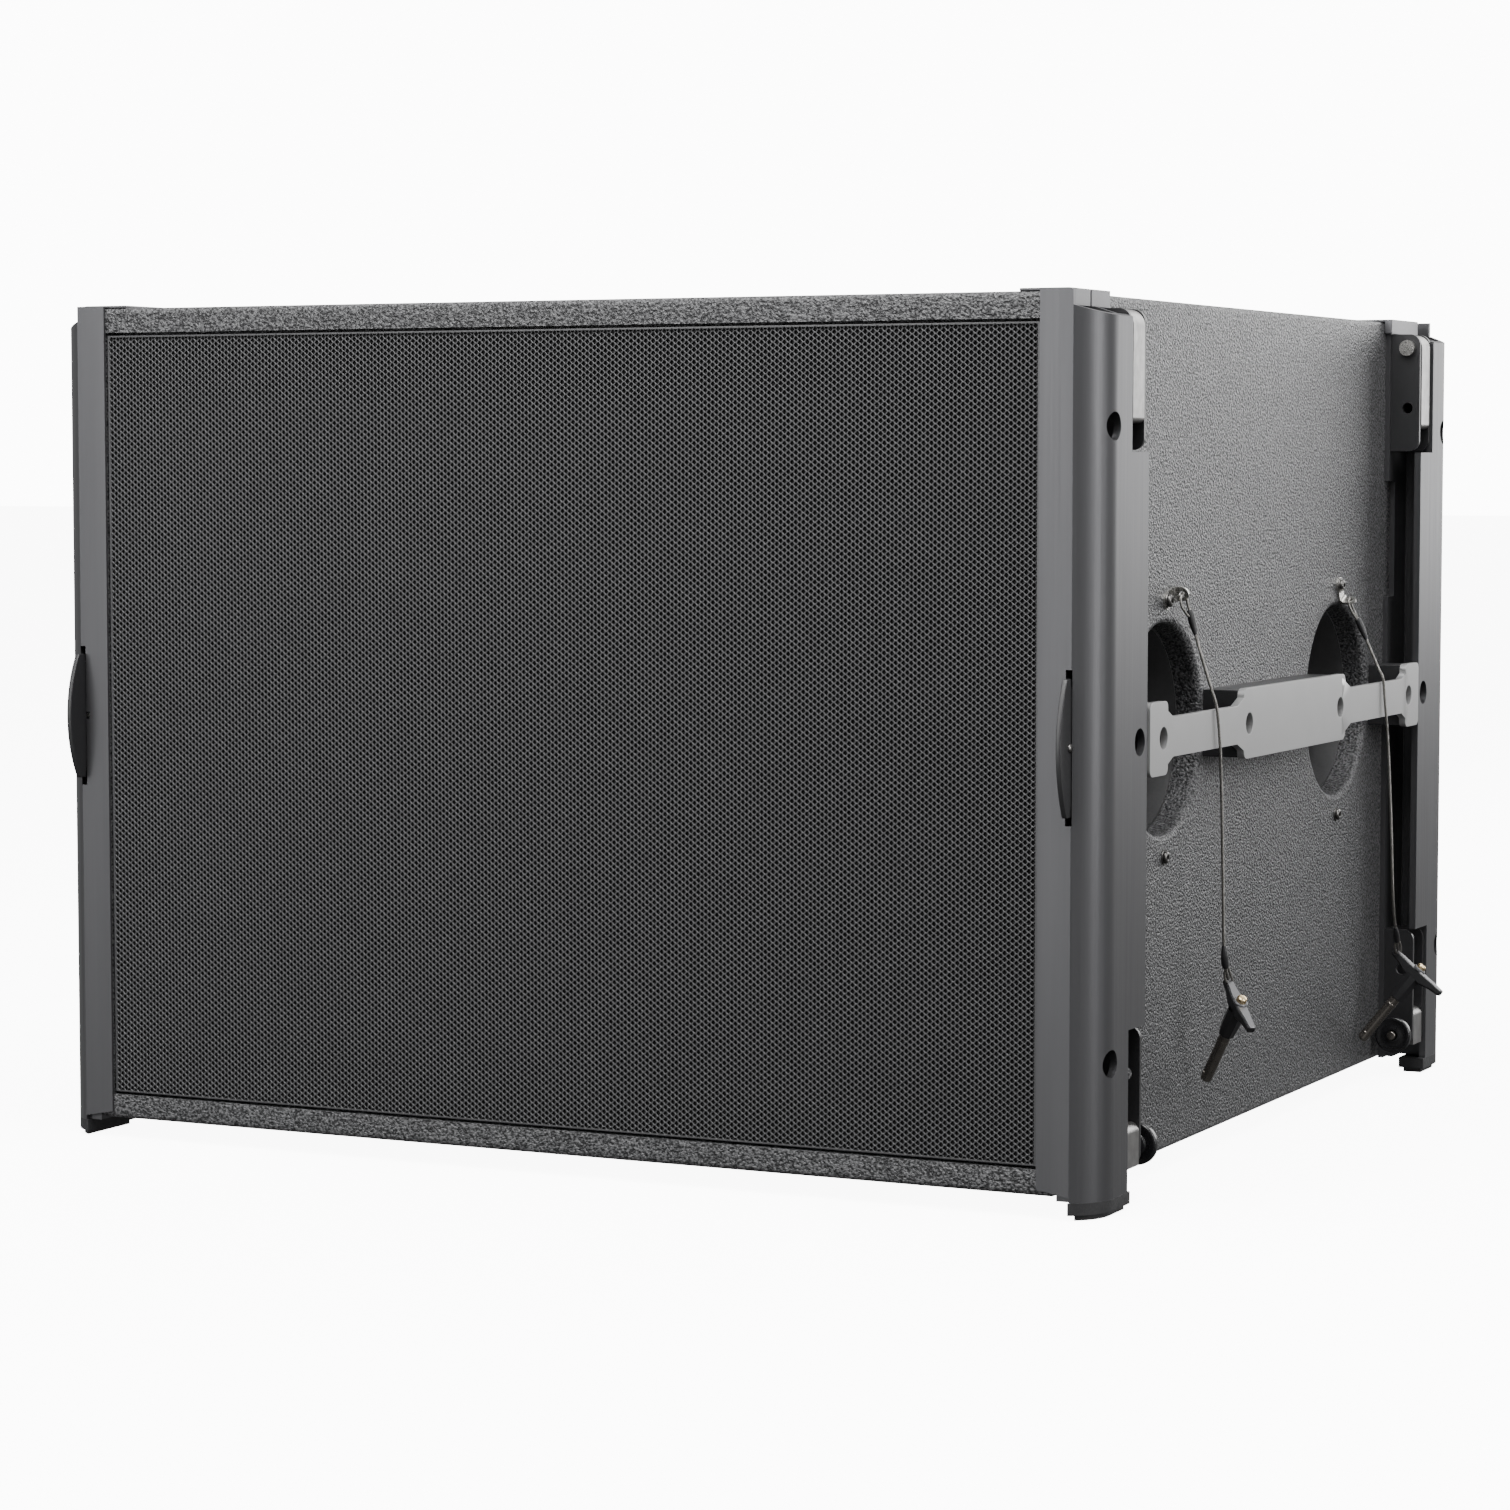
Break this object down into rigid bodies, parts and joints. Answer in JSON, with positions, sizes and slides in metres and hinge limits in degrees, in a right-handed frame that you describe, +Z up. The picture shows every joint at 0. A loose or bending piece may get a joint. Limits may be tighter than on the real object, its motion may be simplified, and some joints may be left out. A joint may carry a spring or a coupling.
{
  "type": "line array speaker",
  "caption": "Line array bass cabinet: perforated grille front, four corner rigging rails with swing links, quick-release pins on lanyards, and side handle bars over round hand cups.",
  "frame": {"origin": "under the middle of the whole outline, on the plane that the feet stand on", "axes": "+X to the right seen from the front, +Y to the back (the grille faces -Y), +Z up"},
  "size_m": [0.8283, 0.778, 0.586],
  "materials": {
    "cabinet_coat": "textured hard paint over birch plywood",
    "bare_ply": "bare plywood inside the ports",
    "grille_steel": "satin powder coat on perforated steel",
    "foam": "open-cell acoustic foam",
    "cast_frame": "matt black casting",
    "surround_rubber": "soft half-roll",
    "cone_paper": "pressed paper",
    "spider_cloth": "resin-dipped cloth",
    "coil_former": "copper winding on its former",
    "plate_steel": "zinc plated",
    "magnet_ferrite": "sintered ferrite",
    "zinc_steel": "bright zinc and nickel",
    "black_steel": "satin black powder coat",
    "rail_aluminium": "dark anodised, satin",
    "cap_aluminium": "dark anodised, satin",
    "foot_rubber": "moulded rubber",
    "link_steel": "dark grey plated steel",
    "bar_steel": "satin grey",
    "spacer_plastic": "moulded block",
    "cup_plastic": "moulded cup",
    "socket_plastic": "panel socket",
    "bolt_black": "black oxide",
    "lanyard_wire": "galvanised wire rope",
    "pin_metal": "grey handle with a plated shaft",
    "button_brass": "push button"
  },
  "bodies": {
    "root": {"top_panel": "cabinet_coat", "bottom_panel": "cabinet_coat", "left_side_panel": "cabinet_coat", "right_side_panel": "cabinet_coat", "back_panel": "cabinet_coat", "front_baffle": "cabinet_coat", "left_port_walls": "bare_ply", "right_port_walls": "bare_ply", "front_grille": "grille_steel", "grille_foam": "foam", "woofer_basket": "cast_frame", "woofer_surround": "surround_rubber", "woofer_spider": "spider_cloth", "woofer_top_plate": "plate_steel", "woofer_pole_piece": "plate_steel", "woofer_magnet": "magnet_ferrite", "woofer_screws": "zinc_steel", "input_screws": "zinc_steel", "cup_screws": "zinc_steel", "lanyard_lugs": "zinc_steel", "link_pivots": "zinc_steel", "lever_pivots": "zinc_steel", "input_plate": "black_steel", "right_clevises": "black_steel", "left_clevises": "black_steel", "front_right_rail": "rail_aluminium", "front_left_rail": "rail_aluminium", "rear_right_rail": "rail_aluminium", "rear_left_rail": "rail_aluminium", "top_caps": "cap_aluminium", "rail_feet": "foot_rubber", "guide_blocks": "link_steel", "right_handle_bar": "bar_steel", "left_handle_bar": "bar_steel", "bar_spacers": "spacer_plastic", "right_hand_cups": "cup_plastic", "left_hand_cups": "cup_plastic", "input_sockets": "socket_plastic", "bar_bolts": "bolt_black", "rail_bolts": "bolt_black", "front_lanyard": "lanyard_wire", "rear_lanyard": "lanyard_wire", "front_tether_pin": "pin_metal", "rear_tether_pin": "pin_metal"},
    "front_right_link": {"front_right_link": "link_steel"},
    "front_right_low_pin": {"front_right_low_pin": "pin_metal"},
    "front_left_link": {"front_left_link": "link_steel"},
    "front_left_low_pin": {"front_left_low_pin": "pin_metal"},
    "rear_right_link": {"rear_right_link": "link_steel"},
    "rear_right_low_pin": {"rear_right_low_pin": "pin_metal"},
    "rear_left_link": {"rear_left_link": "link_steel"},
    "rear_left_low_pin": {"rear_left_low_pin": "pin_metal"},
    "right_lever": {"right_lock_lever": "black_steel"},
    "left_lever": {"left_lock_lever": "black_steel"},
    "cone": {"woofer_cone": "cone_paper", "woofer_dust_cap": "cone_paper", "woofer_voice_coil": "coil_former"},
    "front_button": {"front_pin_button": "button_brass"},
    "rear_button": {"rear_pin_button": "button_brass"}
  },
  "joints": [
    {"name": "front_right_link_swing", "type": "hinge", "parent": "root", "child": "front_right_link", "pos_m": [0.3815, -0.302, 0.564], "axis": [0, -1, 0], "range_deg": [0, 180]},
    {"name": "front_right_low_pin_pull", "type": "slide", "parent": "root", "child": "front_right_low_pin", "axis": [0, 1, 0], "range_m": [0, 0.045]},
    {"name": "front_left_link_swing", "type": "hinge", "parent": "root", "child": "front_left_link", "pos_m": [-0.3815, -0.302, 0.564], "axis": [0, 1, 0], "range_deg": [0, 180]},
    {"name": "front_left_low_pin_pull", "type": "slide", "parent": "root", "child": "front_left_low_pin", "axis": [0, 1, 0], "range_m": [0, 0.045]},
    {"name": "rear_right_link_swing", "type": "hinge", "parent": "root", "child": "rear_right_link", "pos_m": [0.3815, 0.32, 0.564], "axis": [0, -1, 0], "range_deg": [0, 180]},
    {"name": "rear_right_low_pin_pull", "type": "slide", "parent": "root", "child": "rear_right_low_pin", "axis": [0, -1, 0], "range_m": [0, 0.03]},
    {"name": "rear_left_link_swing", "type": "hinge", "parent": "root", "child": "rear_left_link", "pos_m": [-0.3815, 0.32, 0.564], "axis": [0, 1, 0], "range_deg": [0, 180]},
    {"name": "rear_left_low_pin_pull", "type": "slide", "parent": "root", "child": "rear_left_low_pin", "axis": [0, -1, 0], "range_m": [0, 0.045]},
    {"name": "right_lever_rock", "type": "hinge", "parent": "root", "child": "right_lever", "pos_m": [0.3724, -0.367, 0.299], "axis": [1, 0, 0], "range_deg": [-8, 8]},
    {"name": "left_lever_rock", "type": "hinge", "parent": "root", "child": "left_lever", "pos_m": [-0.3724, -0.367, 0.299], "axis": [1, 0, 0], "range_deg": [-8, 8]},
    {"name": "cone_travel", "type": "slide", "parent": "root", "child": "cone", "axis": [0, -1, 0], "range_m": [-0.006, 0.006], "stiffness_N_per_m": 6000, "deforming": ["woofer_surround", "woofer_spider"]},
    {"name": "front_button_press", "type": "slide", "parent": "root", "child": "front_button", "axis": [-0.4642, 0.3139, -0.8283], "range_m": [0, 0.003], "stiffness_N_per_m": 600},
    {"name": "rear_button_press", "type": "slide", "parent": "root", "child": "rear_button", "axis": [-0.6043, -0.141, -0.7842], "range_m": [0, 0.003], "stiffness_N_per_m": 600}
  ]
}
